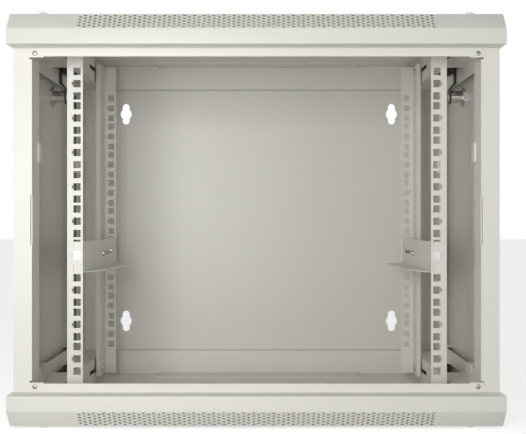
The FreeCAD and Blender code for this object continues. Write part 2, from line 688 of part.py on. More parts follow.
def side_panels():
    """Folded side panels that hook over the bottom channel's lip and lock at the top."""
    front = "(%s + upright_side_return + side_gap)" % FACE
    rear = "(%s - back_fold - side_gap)" % BACK
    low = "(%s + side_gap)" % LOW_NOSE
    high = "(%s - side_gap)" % NOSE_UNDER
    body = body_with_profile("right_panel_pan", "YZ", [rectangle((front, rear), (low, high))], (LIP_OUTER, SIDE))
    add_hollow = ("%s - 1" % LIP_OUTER, SKIN_INNER)
    hollow = slab("right_panel_hollow", add_hollow, ("%s + panel_gauge" % front, "%s - panel_gauge" % rear),
                  ("%s + panel_gauge" % low, "%s - panel_gauge" % high))
    hole = rod("lock_hole", "x", (LOCK_Y, LOCK_Z), ("%s - 1" % SKIN_INNER, "%s + 1" % SIDE), "lock_barrel + 2 * hole_gap")
    pan = cut("right_panel_folds", body, [hollow, hole])
    lip_top = "(2 * %s - %s + channel_lip)" % (MIDDLE, FLOOR)
    hooks = []
    for name, sign in (("front", "-"), ("rear", "+")):
        middle = "(%s %s hook_spacing / 2)" % (LOCK_Y, sign)
        across = around(middle, "hook_width")
        arm_low = "(%s + hook_gap)" % lip_top
        hooks.append(slab("hook_arm_" + name, ("%s - hook_gap - panel_gauge" % LIP_INNER, "%s + panel_gauge / 2" % SKIN_INNER),
                          across, (arm_low, "%s + panel_gauge" % arm_low)))
        hooks.append(slab("hook_drop_" + name, ("%s - hook_gap - panel_gauge" % LIP_INNER, "%s - hook_gap" % LIP_INNER),
                          across, ("%s - hook_drop" % arm_low, "%s + panel_gauge" % arm_low)))
    both_sides(fuse("right_side_panel", [pan] + hooks))


def side_locks():
    """Cam lock of each side panel: barrel, nut, turning plug, cranked cam and its screw."""
    centre = (LOCK_Y, LOCK_Z)
    flange = rod("lock_flange_disc", "x", centre, (SIDE, "%s + lock_flange_height" % SIDE), "lock_flange")
    barrel = rod("lock_barrel_tube", "x", centre, (BARREL_END, SIDE), "lock_barrel")
    bore = rod("lock_bore", "x", centre, ("%s - 1" % BARREL_END, "%s + lock_flange_height + 1" % SIDE),
               "lock_plug + 2 * lock_running_gap")
    both_sides(cut("right_lock_barrel", fuse("lock_barrel_blank", [flange, barrel]), [bore]))

    nut = hexagon("lock_nut_blank", "x", centre, ("%s - lock_nut_height" % SKIN_INNER, SKIN_INNER), "lock_nut_width")
    nut_bore = rod("lock_nut_bore", "x", centre, ("%s - lock_nut_height - 1" % SKIN_INNER, "%s + 1" % SKIN_INNER),
                   "lock_barrel + 2 * lock_running_gap")
    both_sides(cut("right_lock_nut", nut, [nut_bore]))

    cam_outer = "(%s - cam_seat_gap)" % BARREL_END
    cam_inner = "(%s - cam_gauge)" % cam_outer
    plug_face = "(%s + lock_flange_height)" % SIDE
    plug = rod("lock_plug_core", "x", centre, (cam_outer, plug_face), "lock_plug")
    stud = slab("lock_plug_stud", (cam_inner, "%s + 1" % cam_outer), around(LOCK_Y, "cam_square"),
                around(LOCK_Z, "cam_square"))
    key_slot = slab("key_slot", ("%s - key_slot_depth" % plug_face, "%s + 1" % plug_face),
                    around(LOCK_Y, "key_slot_width"), around(LOCK_Z, "key_slot_length"))
    both_sides(cut("right_lock_plug", fuse("lock_plug_blank", [plug, stud]), [key_slot]))

    tip_outer = "(%s - cam_gap)" % LIP_INNER
    tip_inner = "(%s - cam_gauge)" % tip_outer
    bend = "(%s + cam_straight)" % LOCK_Z
    tip_start = "(%s + cam_bend_rise)" % bend
    cam = body_with_profile("cam_section", "XZ", [[
        (cam_inner, "%s - cam_tail" % LOCK_Z), (cam_outer, "%s - cam_tail" % LOCK_Z), (cam_outer, bend),
        (tip_outer, tip_start), (tip_outer, "%s + cam_reach" % LOCK_Z), (tip_inner, "%s + cam_reach" % LOCK_Z),
        (tip_inner, "%s + cam_gauge / 2" % tip_start), (cam_inner, "%s + cam_gauge / 2" % bend),
    ]], around(LOCK_Y, "cam_width"))
    square = slab("cam_square_hole", ("%s - 1" % cam_inner, "%s + 1" % cam_outer),
                  around(LOCK_Y, "cam_square + 2 * insert_gap"), around(LOCK_Z, "cam_square + 2 * insert_gap"))
    both_sides(cut("right_lock_cam", cam, [square]))
    both_sides(dome("right_cam_screw", "x", centre, ("%s - cam_screw_head" % cam_inner, cam_inner),
                    ("0.7 * cam_screw_width", "cam_screw_width")))


def panel_clips():
    """Moulded clips pushed on the folded edges beside each side panel, one at the front, one at the rear."""
    rise = (MIDDLE + " + clip_low", MIDDLE + " + clip_high")
    edge = "(%s + upright_return)" % FACE
    front_block = slab("front_clip_block", ("%s - clip_wall" % UPRIGHT_INNER, "%s + frame_gauge + clip_wall" % UPRIGHT_INNER),
                       ("%s - clip_grip" % edge, "%s + clip_nose" % edge), rise)
    front_slot = slab("front_clip_slot", ("%s - clip_gap" % UPRIGHT_INNER, "%s + frame_gauge + clip_gap" % UPRIGHT_INNER),
                      ("%s - clip_grip - 1" % edge, edge), (MIDDLE, TOP))
    front = cut("front_clip_right", front_block, [front_slot])
    start = "(%s - rear_upright_depth)" % BACK_INNER
    rear_block = slab("rear_clip_block", ("%s - frame_gauge - clip_wall - 2" % LIP_INNER, "%s + clip_wall" % LIP_INNER),
                      ("%s - clip_nose" % start, "%s + clip_grip" % start), rise)
    rear_slot = slab("rear_clip_slot", ("%s - frame_gauge - clip_gap" % LIP_INNER, "%s + clip_gap" % LIP_INNER),
                     (start, "%s + clip_grip + 1" % start), (MIDDLE, TOP))
    rear = cut("rear_clip_right", rear_block, [rear_slot])
    both_sides(group("right_panel_clips", [front, rear]))


def rail_section(flange_face, flange_back, web_end, lip_start):
    """Section of a rail: drilled flange, web and a small outward lip, in plan."""
    return [
        (RAIL_INNER, flange_face), (RAIL_OUTER, flange_face), (RAIL_OUTER, lip_start),
        ("%s + rail_lip" % RAIL_OUTER, lip_start), ("%s + rail_lip" % RAIL_OUTER, web_end),
        ("%s - rail_gauge" % RAIL_OUTER, web_end), ("%s - rail_gauge" % RAIL_OUTER, flange_back),
        (RAIL_INNER, flange_back),
    ]


def rack_hole_outlines():
    """The three square holes of the lowest rack unit; the middle one has a notch on its outer side."""
    outlines = []
    side = around(HOLE_COLUMN, "rack_hole_side")
    for step in (-1, 0, 1):
        centre = "(%s + rack_unit / 2 + %d * rack_hole_pitch)" % (RACK_BOTTOM, step)
        low, high = around(centre, "rack_hole_side")
        if step:
            outlines.append(rectangle(side, (low, high)))
        else:
            notch_low, notch_high = around(centre, "notch_height")
            tip = "%s + notch_width" % side[1]
            outlines.append([(side[0], low), (side[1], low), (side[1], notch_low), (tip, notch_low),
                             (tip, notch_high), (side[1], notch_high), (side[1], high), (side[0], high)])
    return outlines


def rail(name, flange_y, direction, bolt_y):
    """One rack rail with its two bolts and its nuts; direction is the way its web runs from the flange."""
    step = "+" if direction > 0 else "-"
    body = body_with_profile(name + "_body", "XY", [rail_section(
        flange_y, "%s %s rail_gauge" % (flange_y, step), "%s %s rail_web" % (flange_y, step),
        "%s %s (rail_web - rail_gauge)" % (flange_y, step))],
        (MIDDLE + " - rail_height / 2", MIDDLE + " + rail_height / 2"))
    pocket = add_pocket(body, name + "_holes", "XZ", rack_hole_outlines())
    pattern = body.newObject("PartDesign::LinearPattern", name + "_units")
    pattern.Originals = [pocket]
    pattern.Direction = ([part for part in body.Origin.OriginFeatures if part.Role == "Z_Axis"][0], [""])
    pattern.setExpression("Length", bound("rack_unit * (rack_units - 1)"))
    pattern.setExpression("Occurrences", bound("rack_units"))
    body.Tip = pattern
    add_pocket(body, name + "_bolt_holes", "YZ", [], [
        (bolt_y, RAIL_BOLT_Z, "rail_bolt + 2 * hole_gap"),
        (bolt_y, "(2 * %s - %s)" % (MIDDLE, RAIL_BOLT_Z), "rail_bolt + 2 * hole_gap")])
    body.Label = "right_%s" % name
    both_sides(body)

    centre = (bolt_y, RAIL_BOLT_Z)
    bolt = head_and_shank(name + "_bolt", "x", centre, "(%s - rail_gauge)" % RAIL_OUTER, -1, "rail_bolt_head",
                          "rail_bolt_head_width", "rail_bolt", "rail_bolt_length")
    both_sides(group("right_%s_bolts" % name, [bolt, mirror(name + "_bolt_low", bolt, "z")]))
    outer = "(channel_web + frame_gauge)"
    bore = rod(name + "_nut_bore", "x", centre, (RAIL_INNER, COVER_SIDE), "rail_bolt + 2 * hole_gap")
    spacer = cut(name + "_spacer", hexagon(name + "_spacer_blank", "x", centre, (RAIL_OUTER, "channel_web"),
                                           "rail_nut_width"), [bore])
    nut = cut(name + "_nut", hexagon(name + "_nut_blank", "x", centre, (outer, "%s + rail_nut" % outer),
                                     "rail_nut_width"), [bore])
    upper = group(name + "_nuts_top", [spacer, nut])
    both_sides(group("right_%s_nuts" % name, [upper, mirror(name + "_nuts_bottom", upper, "z")]))


FRONT_FLANGE = "(%s + front_rail_depth)" % FRONT
REAR_FLANGE = "(%s + rear_rail_depth)" % FRONT
BRACKET_TOP = "(%s - bracket_top_drop)" % MIDDLE
BRACKET_LOW = "(%s - bracket_height)" % BRACKET_TOP
FRONT_SEAT = "(%s + rail_gauge)" % FRONT_FLANGE
REAR_SEAT = "(%s - rail_gauge)" % REAR_FLANGE
CLAMP_Y = "(%s + clamp_setback)" % FRONT_SEAT
CLAMP_Z = "(%s - clamp_drop)" % BRACKET_TOP


def bracket_half(name, web_inner, low, ends, ear_span):
    """One half of a support bracket: upright web, ledge turned inward, ear turned out to the rail flange."""
    web_outer = "(%s + bracket_gauge)" % web_inner
    ledge_tip = "(%s + bracket_gauge - bracket_ledge - bracket_gauge)" % RAIL_INNER
    section = body_with_profile(name + "_section", "XZ", [[
        (ledge_tip, low), (web_outer, low), (web_outer, BRACKET_TOP), (web_inner, BRACKET_TOP),
        (web_inner, "%s + bracket_gauge" % low), (ledge_tip, "%s + bracket_gauge" % low),
    ]], ends)
    ear = slab(name + "_ear", (web_inner, "%s + bracket_ear" % RAIL_INNER), ear_span, (low, BRACKET_TOP))
    ear_hole = rod(name + "_ear_hole", "y", (HOLE_COLUMN, INSERT_RISE), (ear_span[0] + " - 1", ear_span[1] + " + 1"),
                   "clamp_bolt + 2 * hole_gap")
    return cut(name + "_drilled", fuse(name + "_blank", [section, ear]), [ear_hole])


def support_brackets():
    """Telescoping support brackets between the front and rear rails, their clamp and their fixings."""
    front_end = "(%s + bracket_length)" % FRONT_SEAT
    front = bracket_half("front_bracket", RAIL_INNER, BRACKET_LOW, (FRONT_SEAT, front_end),
                         (FRONT_SEAT, "%s + bracket_gauge" % FRONT_SEAT))
    tip = "(%s - bracket_ledge)" % RAIL_INNER
    nose = body_with_profile("bracket_nose_cut", "XY", [[
        ("%s - 1" % tip, "%s - 1" % FRONT_SEAT), (RAIL_INNER, "%s - 1" % FRONT_SEAT), (RAIL_INNER, FRONT_SEAT),
        (tip, "%s + bracket_nose_cut" % FRONT_SEAT), ("%s - 1" % tip, "%s + bracket_nose_cut" % FRONT_SEAT),
    ]], ("%s - 1" % BRACKET_LOW, BRACKET_TOP))
    clamp_hole = rod("clamp_hole", "x", (CLAMP_Y, CLAMP_Z), ("%s - 1" % RAIL_INNER, "%s + 4" % RAIL_INNER),
                     "clamp_bolt + 2 * hole_gap")
    both_sides(cut("right_bracket_front_half", front, [nose, clamp_hole]))

    lap = "(%s + bracket_gauge)" % RAIL_INNER
    rear_low = "(%s - bracket_gauge)" % BRACKET_LOW
    rear_start = "(%s - bracket_length)" % REAR_SEAT
    rear = bracket_half("rear_bracket", lap, rear_low, (rear_start, REAR_SEAT),
                        ("%s - bracket_gauge" % REAR_SEAT, REAR_SEAT))
    run = slot("clamp_slot", "x", CLAMP_Z,
               ("%s - front_rail_forward - rear_rail_backward" % CLAMP_Y,
                "%s + front_rail_backward + rear_rail_forward" % CLAMP_Y),
               ("%s - 1" % lap, "%s + bracket_gauge + 1" % lap), "clamp_bolt + 2 * clamp_gap")
    both_sides(cut("right_bracket_rear_half", rear, run))

    screw = head_and_shank("clamp_screw", "x", (CLAMP_Y, CLAMP_Z), RAIL_INNER, -1, "clamp_head", "clamp_head_width",
                           "clamp_bolt", "clamp_length")
    nut_seat = "(%s + bracket_gauge)" % lap
    nut = cut("clamp_nut_ring", hexagon("clamp_nut_blank", "x", (CLAMP_Y, CLAMP_Z), (nut_seat, "%s + clamp_nut" % nut_seat),
                                        "clamp_nut_width"),
              [rod("clamp_nut_bore", "x", (CLAMP_Y, CLAMP_Z), (RAIL_INNER, COVER_SIDE), "clamp_bolt + 2 * hole_gap")])
    both_sides(group("right_bracket_clamp", [screw, nut]))

    for end, flange, seat, facing in (("front", FRONT_FLANGE, FRONT_SEAT, 1), ("rear", REAR_FLANGE, REAR_SEAT, -1)):
        through = (flange, seat) if facing > 0 else (seat, flange)
        insert = slab(end + "_insert_block", around(HOLE_COLUMN, "rack_hole_side - 2 * insert_gap"), through,
                      around(INSERT_RISE, "rack_hole_side - 2 * insert_gap"))
        bore = rod(end + "_insert_bore", "y", (HOLE_COLUMN, INSERT_RISE), ("%s - 1" % through[0], "%s + 1" % through[1]),
                   "clamp_bolt + 2 * hole_gap")
        ring = cut(end + "_insert", insert, [bore])
        head_seat = "(%s %s bracket_gauge)" % (seat, "+" if facing > 0 else "-")
        fixing = head_and_shank(end + "_fixing", "y", (HOLE_COLUMN, INSERT_RISE), head_seat, facing, "clamp_head",
                                "clamp_head_width", "clamp_bolt", "bracket_gauge + rail_gauge")
        both_sides(group("right_bracket_%s_fixing" % end, [ring, fixing]))


def check_and_write():
    """Stop on any failed feature or bad shape, then write each piece to the parts folder."""
    document.recompute()
    faults = [item.Label for item in document.Objects
              if "Invalid" in item.State or "Error" in item.State]
    if faults:
        raise RuntimeError("features failed: %s" % ", ".join(faults))
    os.makedirs("parts", exist_ok=True)
    for piece in nodes:
        shape = piece.Shape
        if shape.isNull() or not shape.isValid() or not shape.Solids:
            raise RuntimeError("bad shape: %s" % piece.Label)
        shape.exportStep("parts/%s.step" % piece.Label)
    print("%d pieces written" % len(nodes))


covers()
front_frame()
depth_channels()
rear_frame()
side_panels()
side_locks()
panel_clips()
rail("front_rail", FRONT_FLANGE, 1, FRONT_BOLT_Y)
rail("rear_rail", REAR_FLANGE, -1, REAR_BOLT_Y)
support_brackets()
check_and_write()
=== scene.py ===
"""Dresses the wall mount network cabinet: finishes, perforated covers, screws, lights and camera.

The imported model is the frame: metres, X right, Y from the open front to the wall, Z up.
"""
import json
import logging
import math
from dataclasses import dataclass
from enum import Enum
from typing import Sequence

import bmesh
import bpy
from mathutils import Matrix, Vector

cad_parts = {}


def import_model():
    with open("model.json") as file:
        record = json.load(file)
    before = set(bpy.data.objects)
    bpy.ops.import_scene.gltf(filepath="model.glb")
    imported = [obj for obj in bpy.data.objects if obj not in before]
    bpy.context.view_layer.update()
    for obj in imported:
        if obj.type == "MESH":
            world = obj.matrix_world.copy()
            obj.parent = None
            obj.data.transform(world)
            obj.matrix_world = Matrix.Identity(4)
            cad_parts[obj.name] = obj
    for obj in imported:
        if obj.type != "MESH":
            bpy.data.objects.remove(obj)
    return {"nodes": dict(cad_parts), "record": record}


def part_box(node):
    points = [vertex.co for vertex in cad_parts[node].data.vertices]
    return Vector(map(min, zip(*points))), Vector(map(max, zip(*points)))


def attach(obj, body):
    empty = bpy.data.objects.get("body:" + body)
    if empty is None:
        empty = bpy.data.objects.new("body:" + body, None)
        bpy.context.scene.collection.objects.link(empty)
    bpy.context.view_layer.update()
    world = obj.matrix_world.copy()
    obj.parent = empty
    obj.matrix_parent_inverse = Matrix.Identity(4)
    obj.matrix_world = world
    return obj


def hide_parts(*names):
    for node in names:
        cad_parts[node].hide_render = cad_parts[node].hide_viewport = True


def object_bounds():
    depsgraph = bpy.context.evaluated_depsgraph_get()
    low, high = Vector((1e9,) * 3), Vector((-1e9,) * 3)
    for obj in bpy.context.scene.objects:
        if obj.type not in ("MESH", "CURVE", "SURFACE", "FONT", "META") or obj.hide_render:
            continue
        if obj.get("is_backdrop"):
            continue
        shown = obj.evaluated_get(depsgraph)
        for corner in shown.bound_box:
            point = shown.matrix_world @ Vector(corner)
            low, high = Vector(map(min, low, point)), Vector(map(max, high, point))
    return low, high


LOG = logging.getLogger("cabinet")
MM = 0.001
SHARP = math.radians(35)
CABINET = "cabinet"
Colour = tuple[float, float, float]
Point = tuple[float, float, float]


class Facing(Enum):
    """The way that the head of a screw points."""

    UP = (0.0, 0.0, 1.0)
    DOWN = (0.0, 0.0, -1.0)
    OUT = (0.0, -1.0, 0.0)


@dataclass(frozen=True)
class Finish:
    """One surface finish, with the record's slot that it stands for."""

    name: str
    slot: str
    colour: Colour
    metallic: float = 0.0
    roughness: float = 0.45
    grain: float = 0.0
    grain_depth: float = 0.0
    grain_detail: float = 2.0
    grain_strength: float = 0.35
    mottle: float = 0.0
    mottle_scale: float = 40.0
    mottle_detail: float = 4.0
    roughness_swing: float = 2.0

    def material(self) -> bpy.types.Material:
        """Build the finish's procedural material, or return it if it exists.

        Returns:
            The material, with colour and roughness varied by noise on Object coordinates.
        """
        known = bpy.data.materials.get(self.name)
        if known:
            return known
        made = bpy.data.materials.new(self.name)
        made.use_nodes = True
        made.diffuse_color = (*self.colour, 1.0)
        nodes = made.node_tree.nodes
        shader = nodes["Principled BSDF"]
        shader.inputs["Base Color"].default_value = (*self.colour, 1.0)
        shader.inputs["Metallic"].default_value = self.metallic
        shader.inputs["Roughness"].default_value = self.roughness
        place = nodes.new("ShaderNodeTexCoord").outputs["Object"]
        if self.mottle:
            self._add_mottle(made.node_tree, shader, place)
        if self.grain:
            self._add_grain(made.node_tree, shader, place)
        return made

    def _add_mottle(self, tree: bpy.types.NodeTree, shader: bpy.types.Node,
                    place: bpy.types.NodeSocket) -> None:
        """Vary colour and roughness by a soft noise.

        Args:
            tree: The material's node tree.
            shader: The surface shader.
            place: The socket with the Object coordinates.
        """
        cloud = tree.nodes.new("ShaderNodeTexNoise")
        cloud.inputs["Scale"].default_value = self.mottle_scale
        cloud.inputs["Detail"].default_value = self.mottle_detail
        tree.links.new(place, cloud.inputs["Vector"])
        colour = self._between(tree, cloud, self._tint(1 - self.mottle), self._tint(1 + self.mottle))
        tree.links.new(colour, shader.inputs["Base Color"])
        swing = self.roughness_swing * self.mottle
        spread = tree.nodes.new("ShaderNodeMapRange")
        spread.inputs["To Min"].default_value = self.roughness * (1 - swing)
        spread.inputs["To Max"].default_value = self.roughness * (1 + swing)
        tree.links.new(cloud.outputs["Fac"], spread.inputs["Value"])
        tree.links.new(spread.outputs["Result"], shader.inputs["Roughness"])

    def _add_grain(self, tree: bpy.types.NodeTree, shader: bpy.types.Node,
                   place: bpy.types.NodeSocket) -> None:
        """Roughen the surface with the fine peel of a sprayed or moulded skin.

        Args:
            tree: The material's node tree.
            shader: The surface shader.
            place: The socket with the Object coordinates.
        """
        peel = tree.nodes.new("ShaderNodeTexNoise")
        peel.inputs["Scale"].default_value = self.grain
        peel.inputs["Detail"].default_value = self.grain_detail
        tree.links.new(place, peel.inputs["Vector"])
        bump = tree.nodes.new("ShaderNodeBump")
        bump.inputs["Strength"].default_value = self.grain_strength
        bump.inputs["Distance"].default_value = self.grain_depth
        tree.links.new(peel.outputs["Fac"], bump.inputs["Height"])
        tree.links.new(bump.outputs["Normal"], shader.inputs["Normal"])

    def _tint(self, factor: float) -> Colour:
        """The colour made darker or brighter by a factor, kept under 1."""
        return tuple(min(part * factor, 1.0) for part in self.colour)

    @staticmethod
    def _between(tree: bpy.types.NodeTree, cloud: bpy.types.Node, low: Colour,
                 high: Colour) -> bpy.types.NodeSocket:
        """Mix two colours by a noise node.

        Args:
            tree: The node tree that gets the mix node.
            cloud: The noise node.
            low: The colour where the noise is low.
            high: The colour where the noise is high.

        Returns:
            The mix node's colour output.
        """
        mix = tree.nodes.new("ShaderNodeMix")
        mix.data_type = "RGBA"
        mix.inputs["A"].default_value = (*low, 1.0)
        mix.inputs["B"].default_value = (*high, 1.0)
        tree.links.new(cloud.outputs["Fac"], mix.inputs["Factor"])
        return mix.outputs["Result"]


POWDER_COAT = Finish("powder_coat", "grey_paint", (0.78, 0.768, 0.71), roughness=0.36, grain=2200.0,
                     grain_depth=0.00004, mottle=0.012, mottle_scale=18.0)
ZINC = Finish("zinc_plate", "zinc", (0.60, 0.61, 0.62), metallic=1.0, roughness=0.34, mottle=0.08,
              mottle_scale=260.0)
DARK_STEEL = Finish("dark_steel", "dark_steel", (0.07, 0.07, 0.07), metallic=0.6, roughness=0.42)
BLACK_STEEL = Finish("black_cam", "black_steel", (0.035, 0.035, 0.038), metallic=0.5, roughness=0.38,
                     mottle=0.1, mottle_scale=300.0)
CORNER_ZINC = Finish("corner_zinc", "dark_steel", (0.34, 0.34, 0.33), metallic=0.7, roughness=0.4,
                     mottle=0.1, mottle_scale=300.0)
NICKEL = Finish("nickel_plate", "nickel", (0.66, 0.65, 0.62), metallic=1.0, roughness=0.16, mottle=0.03,
                mottle_scale=120.0)
CREAM = Finish("cream_plastic", "cream_plastic", (0.76, 0.70, 0.56), roughness=0.5, grain=1500.0,
               grain_depth=0.00003)
FINISHES = {finish.slot: finish for finish in (POWDER_COAT, ZINC, DARK_STEEL, BLACK_STEEL, NICKEL, CREAM)}


@dataclass(frozen=True)
class SoftBox:
    """A square lamp that stands off the cabinet's middle and points at it."""

    name: str
    spot: Point
    width: float
    watts: float


@dataclass
class Studio:
    """Camera, lamps, floor and world that show the cabinet as the photograph does."""

    photo_width: int = 526
    photo_height: int = 434
    focal_px: float = 1012.0
    vanishing: tuple[float, float] = (265.5, 220.0)
    camera_x: float = 0.011
    camera_gap: float = 1.2115
    sensor_mm: float = 36.0
    nearest: float = 0.01
    key: SoftBox = SoftBox("key", (-0.35, -1.3, 0.1), 0.5, 8.0)
    fill: SoftBox = SoftBox("fill", (1.3, -1.7, -0.15), 1.0, 5.0)
    floor_reach: float = 12.0
    floor_grey: float = 0.78
    floor_glow: float = 0.62
    world_strength: float = 0.3

    def build(self, low: Sequence[float], high: Sequence[float]) -> None:
        """Add camera, lamps, floor and world.

        Args:
            low: Lowest corner of the frame.
            high: Highest corner of the frame.
        """
        self._camera(low, high)
        self._lamps(low, high)
        self._floor(low)
        self._world()
        bpy.context.scene.view_settings.view_transform = "Standard"

    def _camera(self, low: Sequence[float], high: Sequence[float]) -> None:
        """Set the camera on the photograph's line of sight, at the cabinet's mid-height.

        Args:
            low: Lowest corner of the frame.
            high: Highest corner of the frame.
        """
        data = bpy.data.cameras.new("camera")
        data.sensor_width = self.sensor_mm
        data.lens = self.focal_px * self.sensor_mm / self.photo_width
        data.shift_x = (self.photo_width / 2 - self.vanishing[0]) / self.photo_width
        data.shift_y = (self.vanishing[1] - self.photo_height / 2) / self.photo_width
        data.clip_start = self.nearest
        camera = bpy.data.objects.new("camera", data)
        camera.location = (self.camera_x, low[1] - self.camera_gap, (low[2] + high[2]) / 2)
        camera.rotation_euler = (math.pi / 2, 0.0, 0.0)
        bpy.context.scene.collection.objects.link(camera)
        bpy.context.scene.camera = camera

    def _lamps(self, low: Sequence[float], high: Sequence[float]) -> None:
        """Hang the soft boxes: a key close to the left of the camera and a wide fill to its right.

        Args:
            low: Lowest corner of the frame.
            high: Highest corner of the frame.
        """
        middle = Vector(((low[0] + high[0]) / 2, (low[1] + high[1]) / 2, (low[2] + high[2]) / 2))
        for box in (self.key, self.fill):
            data = bpy.data.lights.new(box.name, "AREA")
            data.shape = "SQUARE"
            data.size = box.width
            data.energy = box.watts
            lamp = bpy.data.objects.new(box.name, data)
            lamp.location = middle + Vector(box.spot)
            lamp.rotation_euler = (-Vector(box.spot)).to_track_quat("-Z", "Y").to_euler()
            bpy.context.scene.collection.objects.link(lamp)

    def _floor(self, low: Sequence[float]) -> None:
        """Lay a white floor under the cabinet and mark it as stage.

        Args:
            low: Lowest corner of the frame.
        """
        mesh = bpy.data.meshes.new("floor")
        reach = self.floor_reach
        outline = ((-reach, -reach), (reach, -reach), (reach, reach), (-reach, reach))
        corners = [(x, y, low[2]) for x, y in outline]
        mesh.from_pydata(corners, [], [(0, 1, 2, 3)])
        floor = bpy.data.objects.new("floor", mesh)
        bpy.context.scene.collection.objects.link(floor)
        mesh.materials.append(self._backdrop("floor_white", self.floor_grey, self.floor_glow))
        floor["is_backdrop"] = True

    @staticmethod
    def _backdrop(name: str, colour: float, glow: float) -> bpy.types.Material:
        """A pale surface that the camera, metal and glass see as white, and that keeps shadows.

        Args:
            name: Name of the material.
            colour: Grey value of the diffuse part.
            glow: Strength of the part that only the camera, reflections and glass see.

        Returns:
            The material.
        """
        made = bpy.data.materials.new(name)
        made.use_nodes = True
        nodes = made.node_tree.nodes
        links = made.node_tree.links
        nodes.clear()
        out = nodes.new("ShaderNodeOutputMaterial")
        matt = nodes.new("ShaderNodeBsdfDiffuse")
        matt.inputs["Color"].default_value = (colour, colour, colour, 1.0)
        shine = nodes.new("ShaderNodeEmission")
        links.new(Studio._seen(made.node_tree, 0.0, glow), shine.inputs["Strength"])
        total = nodes.new("ShaderNodeAddShader")
        links.new(matt.outputs["BSDF"], total.inputs[0])
        links.new(shine.outputs["Emission"], total.inputs[1])
        links.new(total.outputs["Shader"], out.inputs["Surface"])
        return made

    @staticmethod
    def _seen(tree: bpy.types.NodeTree, unseen: float, seen: float) -> bpy.types.NodeSocket:
        """A strength that differs for rays that the camera, reflections or glass look along.

        Args:
            tree: The node tree to add nodes to.
            unseen: Strength for rays that only carry light.
            seen: Strength for rays that show the surface.

        Returns:
            The socket with the strength.
        """
        path = tree.nodes.new("ShaderNodeLightPath")
        first = tree.nodes.new("ShaderNodeMath")
        first.operation = "MAXIMUM"
        tree.links.new(path.outputs["Is Camera Ray"], first.inputs[0])
        tree.links.new(path.outputs["Is Glossy Ray"], first.inputs[1])
        second = tree.nodes.new("ShaderNodeMath")
        second.operation = "MAXIMUM"
        tree.links.new(first.outputs["Value"], second.inputs[0])
        tree.links.new(path.outputs["Is Transmission Ray"], second.inputs[1])
        spread = tree.nodes.new("ShaderNodeMapRange")
        spread.inputs["To Min"].default_value = unseen
        spread.inputs["To Max"].default_value = seen
        tree.links.new(second.outputs["Value"], spread.inputs["Value"])
        return spread.outputs["Result"]

    def _world(self) -> None:
        """Light the scene with a plain white world that the camera sees as white."""
        world = bpy.data.worlds.new("studio")
        world.use_nodes = True
        background = world.node_tree.nodes["Background"]
        background.inputs["Color"].default_value = (1.0, 1.0, 1.0, 1.0)
        world.node_tree.links.new(self._seen(world.node_tree, self.world_strength, 1.0),
                                  background.inputs["Strength"])
        bpy.context.scene.world = world


class Piece:
    """Builds one plain mesh object and hands it to the frame."""

    def __init__(self, name: str, finish: Finish, body: str, stands_for: Sequence[str] = ()) -> None:
        """Remember what the piece is.

        Args:
            name: Name of the object.
            finish: The finish that it gets.
            body: The CAD body that it rides on.
            stands_for: CAD nodes that it replaces.
        """
        self.name = name
        self.finish = finish
        self.body = body
        self.stands_for = tuple(stands_for)

    def place(self, mesh: bpy.types.Mesh) -> bpy.types.Object:
        """Link a mesh as the piece, at the origin, and hand it to the frame.

        Args:
            mesh: The finished mesh, in the row frame.

        Returns:
            The linked object.
        """
        made = bpy.data.objects.new(self.name, mesh)
        bpy.context.scene.collection.objects.link(made)
        if not mesh.materials:
            mesh.materials.append(self.finish.material())
        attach(made, self.body)
        if self.stands_for:
            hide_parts(*self.stands_for)
        LOG.info("%s: %d faces on %s", self.name, len(mesh.polygons), self.body)
        return made


